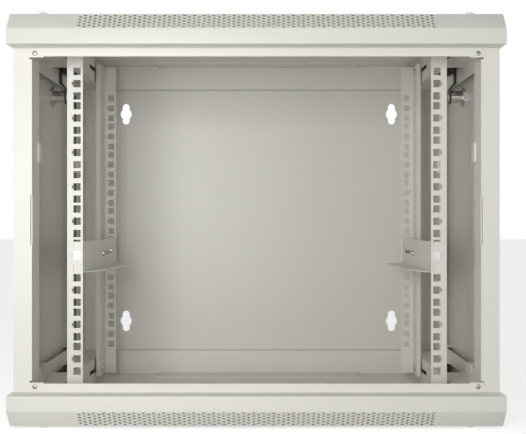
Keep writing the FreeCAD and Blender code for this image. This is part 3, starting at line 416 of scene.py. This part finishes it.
class GeometryGroup:
    """A Geometry Nodes group with named inputs, used once and then applied."""

    def __init__(self, name: str) -> None:
        """Start an empty group with a geometry output.

        Args:
            name: Name of the node group.
        """
        self.tree = bpy.data.node_groups.new(name, "GeometryNodeTree")
        self.tree.interface.new_socket("Geometry", in_out="OUTPUT", socket_type="NodeSocketGeometry")
        self.tree.interface.new_socket("Base", in_out="INPUT", socket_type="NodeSocketGeometry")
        self.inputs = self.tree.nodes.new("NodeGroupInput")
        self.values: dict[str, object] = {}

    def number(self, name: str, value: float) -> bpy.types.NodeSocket:
        """Add a named decimal input and return its socket."""
        return self._input(name, "NodeSocketFloat", value)

    def count(self, name: str, value: int) -> bpy.types.NodeSocket:
        """Add a named whole-number input and return its socket."""
        return self._input(name, "NodeSocketInt", value)

    def thing(self, name: str, value: bpy.types.Object) -> bpy.types.NodeSocket:
        """Add a named object input and return its socket."""
        return self._input(name, "NodeSocketObject", value)

    def base(self) -> bpy.types.NodeSocket:
        """The socket with the mesh that the group is applied to."""
        return self.inputs.outputs["Base"]

    def _input(self, name: str, kind: str, value: object) -> bpy.types.NodeSocket:
        """Add a named input of a kind and remember its value.

        Args:
            name: Name of the input.
            kind: Type of its socket.
            value: The value that the modifier gives it.

        Returns:
            The input's socket.
        """
        self.tree.interface.new_socket(name, in_out="INPUT", socket_type=kind)
        self.values[name] = value
        return self.inputs.outputs[name]

    def node(self, kind: str, **settings: object) -> bpy.types.Node:
        """Add a node and set its properties.

        Args:
            kind: Type of the node.
            **settings: Properties of the node by name.

        Returns:
            The node.
        """
        made = self.tree.nodes.new(kind)
        for name, value in settings.items():
            setattr(made, name, value)
        return made

    def link(self, source: bpy.types.NodeSocket, target: bpy.types.NodeSocket) -> None:
        """Join two sockets."""
        self.tree.links.new(source, target)

    def maths(self, operation: str, first: object, second: object = 0.0) -> bpy.types.NodeSocket:
        """Add a maths node on two sockets or numbers.

        Args:
            operation: The node's operation.
            first: Socket or number.
            second: Socket or number.

        Returns:
            The result's socket.
        """
        made = self.node("ShaderNodeMath", operation=operation)
        for index, value in enumerate((first, second)):
            if isinstance(value, bpy.types.NodeSocket):
                self.link(value, made.inputs[index])
            else:
                made.inputs[index].default_value = value
        return made.outputs["Value"]

    def vector(self, *parts: object) -> bpy.types.NodeSocket:
        """Add a node that makes a vector of three parts.

        Args:
            *parts: Socket or number of each part.

        Returns:
            The vector's socket.
        """
        made = self.node("ShaderNodeCombineXYZ")
        for index, value in enumerate(parts):
            if isinstance(value, bpy.types.NodeSocket):
                self.link(value, made.inputs[index])
            else:
                made.inputs[index].default_value = value
        return made.outputs["Vector"]

    def mesh(self, result: bpy.types.NodeSocket, finish: Finish, base: bpy.types.Mesh) -> bpy.types.Mesh:
        """Realize the result, give it its material and apply the group to a plain mesh.

        Args:
            result: The socket with the geometry.
            finish: The finish whose material the mesh gets.
            base: The mesh that the group starts from.

        Returns:
            The finished mesh.
        """
        real = self.node("GeometryNodeRealizeInstances")
        self.link(result, real.inputs["Geometry"])
        paint = self.node("GeometryNodeSetMaterial")
        paint.inputs["Material"].default_value = finish.material()
        self.link(real.outputs["Geometry"], paint.inputs["Geometry"])
        out = self.node("NodeGroupOutput")
        self.link(paint.outputs["Geometry"], out.inputs["Geometry"])
        holder = bpy.data.objects.new("holder", base)
        bpy.context.scene.collection.objects.link(holder)
        modifier = holder.modifiers.new("geometry", "NODES")
        modifier.node_group = self.tree
        for item in self.tree.interface.items_tree:
            if item.in_out == "INPUT" and item.name in self.values:
                modifier[item.identifier] = self.values[item.name]
        graph = bpy.context.evaluated_depsgraph_get()
        made = bpy.data.meshes.new_from_object(holder.evaluated_get(graph), depsgraph=graph)
        bpy.data.objects.remove(holder)
        return made


def lathe(profile: Sequence[tuple[float, float]], sides: int) -> bmesh.types.BMesh:
    """Turn a profile about Z.

    Args:
        profile: Radius and height of each ring, from the bottom up.
        sides: Number of faces round the axis.

    Returns:
        A closed mesh in metres.
    """
    made = bmesh.new()
    rings = []
    for radius, height in profile:
        rings.append([made.verts.new((radius * math.cos(2 * math.pi * step / sides),
                                      radius * math.sin(2 * math.pi * step / sides), height))
                      for step in range(sides)])
    for lower, upper in zip(rings, rings[1:]):
        for step in range(sides):
            made.faces.new((lower[step], lower[(step + 1) % sides], upper[(step + 1) % sides], upper[step]))
    made.faces.new(tuple(reversed(rings[0])))
    made.faces.new(rings[-1])
    return made


def prism(profile: Sequence[tuple[float, float]], half_width: float) -> bmesh.types.BMesh:
    """Extrude a closed outline evenly to both sides along X.

    Args:
        profile: Y and Z of each corner.
        half_width: Distance from the middle to each end.

    Returns:
        The closed mesh, with its faces outwards.
    """
    made = bmesh.new()
    ends = [[made.verts.new((side * half_width, y, z)) for y, z in profile] for side in (-1, 1)]
    made.faces.new(ends[0])
    made.faces.new(tuple(reversed(ends[1])))
    count = len(profile)
    for step in range(count):
        after = (step + 1) % count
        made.faces.new((ends[0][after], ends[0][step], ends[1][step], ends[1][after]))
    bmesh.ops.recalc_face_normals(made, faces=made.faces)
    return made


def add_block(made: bmesh.types.BMesh, low: Point, high: Point) -> None:
    """Add a box to a mesh.

    Args:
        made: The mesh that gets the box.
        low: Lowest corner.
        high: Highest corner.
    """
    corners = bmesh.ops.create_cube(made, size=1.0)["verts"]
    bmesh.ops.scale(made, vec=[top - base for base, top in zip(low, high)], verts=corners)
    bmesh.ops.translate(made, vec=[(top + base) / 2 for base, top in zip(low, high)], verts=corners)


def add_drill(made: bmesh.types.BMesh, centre: Point, radius: float, length: float, sides: int = 24) -> None:
    """Add an upright round cutter to a mesh.

    Args:
        made: The mesh that gets the cutter.
        centre: Middle of the cutter.
        radius: Its radius.
        length: Its length.
        sides: Number of faces round it.
    """
    place = Matrix.Translation(Vector(centre))
    bmesh.ops.create_cone(made, cap_ends=True, segments=sides, radius1=radius, radius2=radius, depth=length,
                          matrix=place)


def carve(blank: bmesh.types.BMesh, cutter: bmesh.types.BMesh) -> bmesh.types.BMesh:
    """Take one mesh out of another with an exact boolean.

    Args:
        blank: The mesh to cut; it is freed.
        cutter: The mesh to take away; it is freed.

    Returns:
        The cut mesh.
    """
    holders = []
    for shape in (blank, cutter):
        mesh = bpy.data.meshes.new("carve")
        shape.to_mesh(mesh)
        shape.free()
        holder = bpy.data.objects.new("carve", mesh)
        bpy.context.scene.collection.objects.link(holder)
        holders.append(holder)
    modifier = holders[0].modifiers.new("cut", "BOOLEAN")
    modifier.object = holders[1]
    modifier.operation = "DIFFERENCE"
    modifier.solver = "EXACT"
    modifier.use_self = True
    graph = bpy.context.evaluated_depsgraph_get()
    result = bpy.data.meshes.new_from_object(holders[0].evaluated_get(graph), depsgraph=graph)
    for holder in holders:
        bpy.data.objects.remove(holder)
    made = bmesh.new()
    made.from_mesh(result)
    bpy.data.meshes.remove(result)
    return made


@dataclass
class ScrewSet:
    """A set of equal screws that replaces one CAD node, each where its CAD screw stands."""

    node: str
    finish: Finish
    spots: list[tuple[Point, Facing]]
    head_radius: float
    head_height: float
    shank_radius: float
    length: float
    cross_share: float = 0.42
    cross_bar_share: float = 0.4
    cross_depth: float = 1.2 * MM
    deepest_cross_share: float = 0.75
    cutter_spare: float = 1 * MM
    rim_share: float = 0.3
    seat_share: float = 0.97
    dome_sweep: float = math.pi / 2 * 0.8
    tip_length: float = 0.6 * MM
    longest_tip_share: float = 0.2
    tip_radius_share: float = 0.75
    body: str = CABINET
    sides: int = 24
    rings: int = 4
    seed: int = 7

    def build(self) -> bpy.types.Object:
        """Make one screw, repeat it on its spots and hand the set to the frame.

        Returns:
            The set's object.
        """
        one = self._one()
        points = bpy.data.meshes.new(self.node + "_spots")
        points.from_pydata([centre for centre, _ in self.spots], [], [])
        facing = points.attributes.new("facing", "FLOAT_VECTOR", "POINT")
        for index, (_, way) in enumerate(self.spots):
            facing.data[index].vector = way.value
        group = GeometryGroup("screws")
        screw = group.node("GeometryNodeObjectInfo")
        group.link(group.thing("Screw", one), screw.inputs["Object"])
        named = group.node("GeometryNodeInputNamedAttribute", data_type="FLOAT_VECTOR")
        named.inputs["Name"].default_value = "facing"
        stand = group.node("FunctionNodeAlignRotationToVector", axis="Z")
        group.link(named.outputs["Attribute"], stand.inputs["Vector"])
        chance = group.node("FunctionNodeRandomValue", data_type="FLOAT")
        group.link(group.number("Largest turn", math.pi / 2), chance.inputs[3])
        group.link(group.count("Seed", self.seed), chance.inputs["Seed"])
        turn = group.node("FunctionNodeAxisAngleToRotation")
        turn.inputs["Axis"].default_value = (0.0, 0.0, 1.0)
        group.link(chance.outputs[1], turn.inputs["Angle"])
        spun = group.node("FunctionNodeRotateRotation", rotation_space="LOCAL")
        group.link(stand.outputs["Rotation"], spun.inputs["Rotation"])
        group.link(turn.outputs["Rotation"], spun.inputs["Rotate By"])
        placed = group.node("GeometryNodeInstanceOnPoints")
        group.link(group.base(), placed.inputs["Points"])
        group.link(screw.outputs["Geometry"], placed.inputs["Instance"])
        group.link(spun.outputs["Rotation"], placed.inputs["Rotation"])
        mesh = group.mesh(placed.outputs["Instances"], self.finish, points)
        bpy.data.objects.remove(one)
        mesh.shade_smooth()
        mesh.set_sharp_from_angle(angle=SHARP)
        return Piece(self.node + "_made", self.finish, self.body, [self.node]).place(mesh)

    def _one(self) -> bpy.types.Object:
        """Make one screw: domed head on its seat at height 0, shank below, recess cut from the top.

        Returns:
            The screw's object.
        """
        tip = min(self.tip_length, self.longest_tip_share * self.length)
        profile = [(self.shank_radius * self.tip_radius_share, -self.length),
                   (self.shank_radius, tip - self.length),
                   (self.shank_radius, 0.0), (self.head_radius * self.seat_share, 0.0)]
        for step in range(self.rings + 1):
            angle = step / self.rings * self.dome_sweep
            rise = self.rim_share + (1 - self.rim_share) * math.sin(angle) / math.sin(self.dome_sweep)
            profile.append((self.head_radius * math.cos(angle), self.head_height * rise))
        made = carve(lathe(profile, self.sides), self._recess())
        mesh = bpy.data.meshes.new("screw")
        made.to_mesh(mesh)
        made.free()
        one = bpy.data.objects.new("screw", mesh)
        bpy.context.scene.collection.objects.link(one)
        return one

    def _recess(self) -> bmesh.types.BMesh:
        """Make the cutter of the cross recess.

        Returns:
            Two crossed bars that reach past the top of the head.
        """
        top = self.head_height + self.cutter_spare
        low = self.head_height - min(self.cross_depth, self.deepest_cross_share * self.head_height)
        reach = self.cross_share * self.head_radius
        made = bmesh.new()
        for turn in (0, 1):
            bar = bmesh.ops.create_cube(made, size=1.0)["verts"]
            bmesh.ops.scale(made, vec=(2 * reach, self.cross_bar_share * reach, top - low), verts=bar)
            bmesh.ops.rotate(made, matrix=Matrix.Rotation(turn * math.pi / 2, 3, "Z"), verts=bar)
            bmesh.ops.translate(made, vec=(0, 0, (top + low) / 2), verts=bar)
        return made


@dataclass
class PerforatedCover:
    """A folded cap: plate, skirts, return and a sloping nose drilled in the full staggered pattern."""

    node: str
    upside_down: bool = False
    gauge: float = 1.2 * MM
    slope_height: float = 20.5 * MM
    slope_depth: float = 18.5 * MM
    return_depth: float = 31 * MM
    fold_radius: float = 1.1 * MM
    fold_segments: int = 3
    spare: float = 6 * MM
    hole_radius: float = 2.0 * MM
    column_pitch: float = 12 * MM
    row_pitch: float = 5.5 * MM
    columns: int = 36
    rows: int = 5
    column_shift: float = 0.25
    drill_sides: int = 16
    drill_gauges: int = 6
    screw_out: float = 261 * MM
    screw_inset: tuple[float, float] = (28 * MM, 20 * MM)
    screw_radius: float = 3.1 * MM
    cable_half_width: float = 155 * MM
    cable_reach: tuple[float, float] = (54 * MM, 24 * MM)
    cable_screw_out: float = 4.5 * MM
    cable_screw_radius: float = 2.1 * MM

    def build(self) -> bpy.types.Object:
        """Fold the cap, drill it and hand it to the frame.

        Returns:
            The cover's object.
        """
        low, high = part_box(self.node)
        top, under = (-low[2], -high[2]) if self.upside_down else (high[2], low[2])
        shell = self._shell(low, high, top, under)
        base = bpy.data.meshes.new("cap")
        shell.to_mesh(base)
        shell.free()
        mesh = self._drilled(base, low[1], top)
        if self.upside_down:
            mesh.transform(Matrix.Scale(-1.0, 4, (0.0, 0.0, 1.0)))
            mesh.flip_normals()
        mesh.shade_smooth()
        mesh.set_sharp_from_angle(angle=SHARP)
        return Piece(self.node + "_drilled", POWDER_COAT, CABINET, [self.node]).place(mesh)

    def _shell(self, low: Sequence[float], high: Sequence[float], top: float,
               under: float) -> bmesh.types.BMesh:
        """Fold the cap from sheet, with rounded folds, its screw holes and its cable slot.

        Args:
            low: Lowest corner of the CAD cover.
            high: Highest corner of the CAD cover.
            top: Height of the plate's outer face.
            under: Height of the skirts' lower edge.

        Returns:
            The closed shell.
        """
        front, back, side = low[1], high[1], high[0]
        spare = self.spare
        run = math.hypot(self.slope_height, self.slope_depth)
        # The hollow's slope lies one gauge inside the nose's slope.
        drop = self.gauge * (run - self.slope_height) / self.slope_depth
        step = (self.gauge * run + (self.slope_height - self.gauge) * self.slope_depth) / self.slope_height
        solid = prism([(front, under - spare), (front, top - self.slope_height),
                       (front + self.slope_depth, top), (back, top), (back, under - spare)], side)
        bmesh.ops.bevel(solid, geom=solid.edges[:], offset=self.fold_radius, segments=self.fold_segments,
                        profile=0.5, affect="EDGES")
        inner_front = front + self.gauge
        floor = under + self.gauge
        face = front + self.return_depth
        hollow = prism([(inner_front, floor), (inner_front, top - self.slope_height - drop),
                        (front + step, top - self.gauge), (back - self.gauge, top - self.gauge),
                        (back - self.gauge, under - spare / 2), (face, under - spare / 2), (face, floor)],
                       side - self.gauge)
        shell = carve(solid, hollow)
        trim = bmesh.new()
        add_block(trim, (-side - spare, front - spare, under - 2 * spare),
                  (side + spare, back + spare, under))
        shell = carve(shell, trim)
        cuts = bmesh.new()
        add_block(cuts, (-self.cable_half_width, back - self.cable_reach[0], top - spare),
                  (self.cable_half_width, back - self.cable_reach[1], top + spare))
        cable_y = back - sum(self.cable_reach) / 2
        for sign in (-1, 1):
            for y in (front + self.screw_inset[0], back - self.screw_inset[1]):
                add_drill(cuts, (sign * self.screw_out, y, top), self.screw_radius, 2 * spare)
            add_drill(cuts, (sign * (self.cable_half_width + self.cable_screw_out), cable_y, top),
                      self.cable_screw_radius, 2 * spare)
        return carve(shell, cuts)

    def _drilled(self, base: bpy.types.Mesh, front: float, top: float) -> bpy.types.Mesh:
        """Drill the nose: full columns and, half a pitch between them, columns with one hole less.

        Args:
            base: The folded cap.
            front: The nose's foremost place.
            top: Height of the plate's outer face.

        Returns:
            The drilled mesh.
        """
        group = GeometryGroup("nose_perforation")
        pitch = group.number("Column pitch", self.column_pitch)
        row_pitch = group.number("Row pitch", self.row_pitch)
        columns = group.count("Columns", self.columns)
        rows = group.count("Rows", self.rows)
        drill = group.node("GeometryNodeMeshCylinder")
        drill.inputs["Vertices"].default_value = self.drill_sides
        group.link(group.number("Hole radius", self.hole_radius), drill.inputs["Radius"])
        group.link(group.number("Drill length", self.drill_gauges * self.gauge), drill.inputs["Depth"])
        both = group.node("GeometryNodeJoinGeometry")
        for fewer, shift in ((1, -self.column_shift), (0, self.column_shift)):
            count = group.maths("SUBTRACT", rows, fewer)
            width = group.maths("MULTIPLY", pitch, group.maths("SUBTRACT", columns, 1))
            height = group.maths("MULTIPLY", row_pitch, group.maths("SUBTRACT", count, 1))
            grid = group.node("GeometryNodeMeshGrid")
            group.link(width, grid.inputs["Size X"])
            group.link(height, grid.inputs["Size Y"])
            group.link(columns, grid.inputs["Vertices X"])
            group.link(count, grid.inputs["Vertices Y"])
            aside = group.vector(group.maths("MULTIPLY", pitch, shift), 0.0, 0.0)
            moved = group.node("GeometryNodeTransform")
            group.link(grid.outputs["Mesh"], moved.inputs["Geometry"])
            group.link(aside, moved.inputs["Translation"])
            group.link(moved.outputs["Geometry"], both.inputs["Geometry"])
        placed = group.node("GeometryNodeInstanceOnPoints")
        group.link(both.outputs["Geometry"], placed.inputs["Points"])
        group.link(drill.outputs["Mesh"], placed.inputs["Instance"])
        real = group.node("GeometryNodeRealizeInstances")
        group.link(placed.outputs["Instances"], real.inputs["Geometry"])
        laid = group.node("GeometryNodeTransform")
        group.link(real.outputs["Geometry"], laid.inputs["Geometry"])
        slope = group.number("Slope", math.atan2(self.slope_height, self.slope_depth))
        group.link(group.vector(slope, 0.0, 0.0), laid.inputs["Rotation"])
        laid.inputs["Translation"].default_value = (0.0, front + self.slope_depth / 2,
                                                    top - self.slope_height / 2)
        taken = group.node("GeometryNodeMeshBoolean", operation="DIFFERENCE", solver="EXACT")
        group.link(group.base(), taken.inputs["Mesh 1"])
        group.link(laid.outputs["Geometry"], taken.inputs["Mesh 2"])
        return group.mesh(taken.outputs["Mesh"], POWDER_COAT, base)


@dataclass
class Hardware:
    """The screws that show outside and in front, as sets that replace their CAD nodes."""

    cover_head_radius: float = 6 * MM
    cover_head_height: float = 3.8 * MM
    cover_shank_radius: float = 3 * MM
    cover_length: float = 10 * MM
    cover_cross_depth: float = 2 * MM
    corner_head_radius: float = 3.04 * MM
    corner_head_height: float = 1.1 * MM
    corner_cross_share: float = 0.62
    small_head_radius: float = 3.8 * MM
    small_head_height: float = 2.2 * MM
    small_shank_radius: float = 2 * MM
    small_length: float = 6 * MM
    back_length: float = 3.5 * MM

    def build(self) -> None:
        """Build each set where its CAD screws stand."""
        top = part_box("top_cover")[1][2]
        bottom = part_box("bottom_cover")[0][2]
        self._cover_screws("top_cover_screws", top, Facing.UP)
        self._cover_screws("bottom_cover_screws", bottom, Facing.DOWN)
        self._corner_screws()
        self._cable_plate_screws(top, bottom)
        self._back_panel_screws()

    def _cover_screws(self, node: str, seat: float, way: Facing) -> None:
        """Build the four dome head screws of a cover.

        Args:
            node: The CAD node.
            seat: Height of the cover's outer face.
            way: The way that the heads point.
        """
        spots = self._corners(node, self.cover_head_radius, (0, 1), seat, way)
        ScrewSet(node, ZINC, spots, self.cover_head_radius, self.cover_head_height, self.cover_shank_radius,
                 self.cover_length, cross_depth=self.cover_cross_depth).build()

    def _corner_screws(self) -> None:
        """Build the flat screws that join the front bars and uprights."""
        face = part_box("top_front_bar")[0][1]
        spots = self._corners("corner_screws", self.corner_head_radius, (0, 2), face, Facing.OUT)
        ScrewSet("corner_screws", CORNER_ZINC, spots, self.corner_head_radius, self.corner_head_height,
                 self.small_shank_radius, self.small_length, cross_share=self.corner_cross_share).build()

    def _cable_plate_screws(self, top: float, bottom: float) -> None:
        """Build the screws of the cable plates, two in each cover.

        Args:
            top: Height of the top cover's outer face.
            bottom: Height of the bottom cover's outer face.
        """
        low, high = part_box("cable_plate_screws")
        radius = self.small_head_radius
        y = (low[1] + high[1]) / 2
        spots = [((x, y, z), way) for x in (low[0] + radius, high[0] - radius)
                 for z, way in ((top, Facing.UP), (bottom, Facing.DOWN))]
        ScrewSet("cable_plate_screws", ZINC, spots, radius, self.small_head_height, self.small_shank_radius,
                 self.small_length).build()

    def _back_panel_screws(self) -> None:
        """Build the screws that hold the back panel, three at each side."""
        low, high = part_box("back_panel_screws")
        radius = self.small_head_radius
        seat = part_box("back_panel")[1][1] - self.back_length
        middle = (low[2] + high[2]) / 2
        spots = [((x, seat, z), Facing.OUT) for x in (low[0] + radius, high[0] - radius)
                 for z in (low[2] + radius, middle, high[2] - radius)]
        ScrewSet("back_panel_screws", DARK_STEEL, spots, radius, self.small_head_height,
                 self.small_shank_radius, self.back_length).build()

    @staticmethod
    def _corners(node: str, radius: float, axes: tuple[int, int], seat: float,
                 way: Facing) -> list[tuple[Point, Facing]]:
        """The places of four screws that stand at the corners of their node's box.

        Args:
            node: The CAD node.
            radius: Radius of a head.
            axes: The two axes across which the screws are spread.
            seat: Place of the seat along the third axis.
            way: The way that the heads point.

        Returns:
            Place and direction of each screw.
        """
        low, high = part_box(node)
        third = 3 - sum(axes)
        spots = []
        for first in (low[axes[0]] + radius, high[axes[0]] - radius):
            for second in (low[axes[1]] + radius, high[axes[1]] - radius):
                place = [0.0, 0.0, 0.0]
                place[axes[0]], place[axes[1]], place[third] = first, second, seat
                spots.append((tuple(place), way))
        return spots


@dataclass
class CadDress:
    """Gives each CAD node the finish of its slot."""

    finishes: dict[str, Finish]

    def build(self, nodes: dict[str, bpy.types.Object], record: dict) -> None:
        """Dress every node by the record's slot.

        Args:
            nodes: The CAD nodes by name.
            record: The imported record.
        """
        slots = {row["node"]: row["material_slot"] for row in record["subparts"]}
        for name, item in nodes.items():
            item.data.materials.clear()
            item.data.materials.append(self.finishes[slots[name]].material())
            LOG.info("%s: %s", name, slots[name])


def main() -> None:
    """Load the frame, dress it and finish."""
    logging.basicConfig(level=logging.INFO, format="%(name)s %(message)s")
    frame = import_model()
    cad_low, cad_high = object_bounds()
    CadDress(FINISHES).build(frame["nodes"], frame["record"])
    PerforatedCover("top_cover").build()
    PerforatedCover("bottom_cover", upside_down=True).build()
    Hardware().build()
    Studio().build(cad_low, cad_high)


if __name__ == "__main__":
    main()
